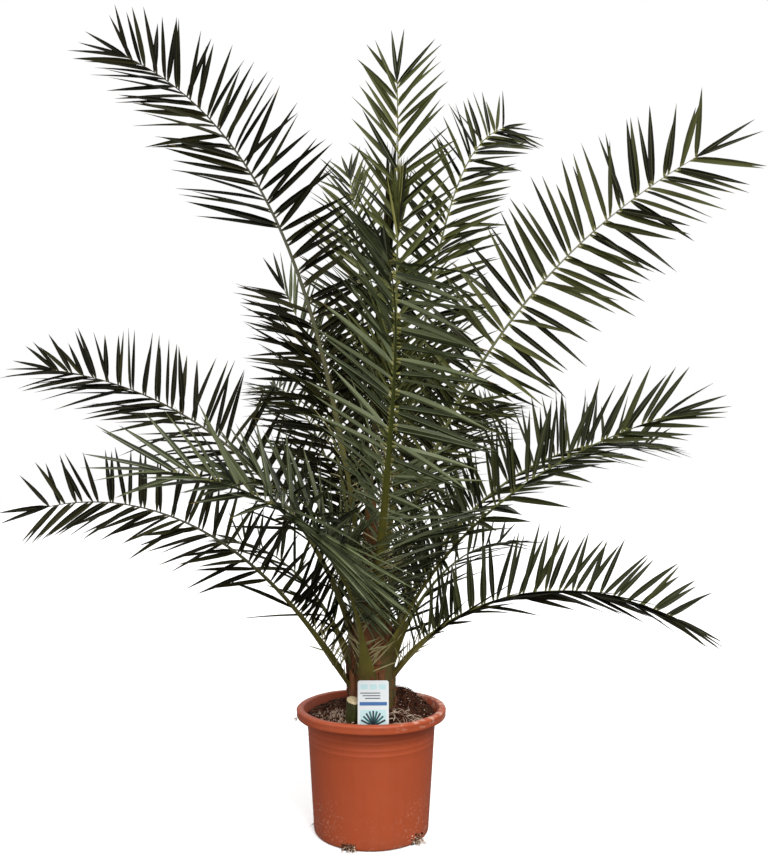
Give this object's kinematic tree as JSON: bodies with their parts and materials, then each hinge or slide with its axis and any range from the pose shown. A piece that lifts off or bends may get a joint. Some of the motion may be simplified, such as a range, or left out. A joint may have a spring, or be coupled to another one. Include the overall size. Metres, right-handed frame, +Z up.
{
  "type": "potted canary island date palm",
  "caption": "Young feather palm with arching fronds of narrow folded leaflets round a short fibrous trunk, standing in soil in a round terracotta-coloured nursery pot.",
  "frame": {"origin": "middle of the flat underside of the pot", "axes": "+Z up along the pot's axis, -Y towards the front, where the care label stands"},
  "size_m": [1.4655, 1.3363, 1.5275],
  "materials": {
    "pot": "terracotta-coloured moulded polypropylene, satin, scuffed along the rim",
    "soil": "dark brown peat compost with bark and fine roots, matt",
    "trunk": "red-brown fibre between green leaf bases, rough",
    "spear": "folded young leaf, olive green with brown scurf",
    "label": "thin printed plastic card, white with blue and green shapes",
    "cut_stub": "green leaf stalk with a pale cut face",
    "fronds": "stiff leathery leaflets, dark green with a waxy bloom, on yellow-green ribs"
  },
  "bodies": {
    "root": {"pot": "pot", "soil": "soil", "trunk": "trunk", "spear": "spear", "label": "label", "cut_stub": "cut_stub", "frond_01": "fronds", "frond_02": "fronds", "frond_03": "fronds", "frond_04": "fronds", "frond_05": "fronds", "frond_06": "fronds", "frond_07": "fronds", "frond_08": "fronds", "frond_09": "fronds", "frond_10": "fronds", "frond_11": "fronds", "frond_12": "fronds", "frond_13": "fronds", "frond_14": "fronds", "frond_15": "fronds", "frond_16": "fronds", "frond_17": "fronds", "frond_18": "fronds", "frond_19": "fronds"}
  },
  "joints": []
}
